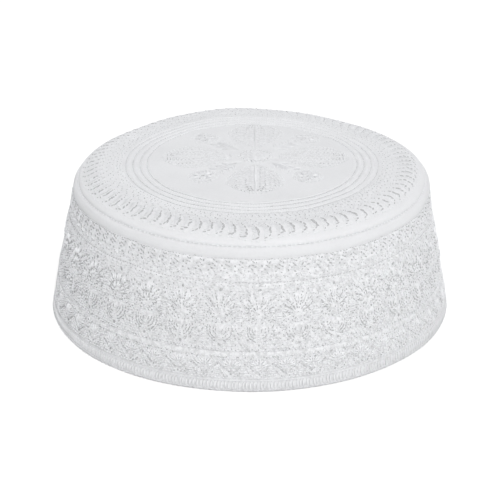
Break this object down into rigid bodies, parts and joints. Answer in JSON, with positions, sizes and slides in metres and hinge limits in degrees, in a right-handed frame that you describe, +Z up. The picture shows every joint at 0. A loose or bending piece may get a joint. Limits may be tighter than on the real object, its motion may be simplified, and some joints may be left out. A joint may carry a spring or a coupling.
{
  "type": "embroidered kufi cap",
  "caption": "Round brimless cap with a flat embroidered crown, a tapered embroidered side and a stitched hem; open underneath for the head.",
  "frame": {"origin": "middle of the hem circle, on the surface that the cap stands on", "axes": "+Z up through the crown; -Y is the side that the picture shows; the crown leans about 1 mm towards +X and -Y"},
  "size_m": [0.186, 0.186, 0.0712],
  "materials": {
    "white_cotton": "plain-weave white cotton with white embroidery, soft sheen",
    "white_thread": "dense white thread stitches, soft sheen"
  },
  "bodies": {
    "root": {"crown_panel": "white_cotton", "side_band": "white_cotton", "hem_band": "white_thread"}
  },
  "joints": []
}
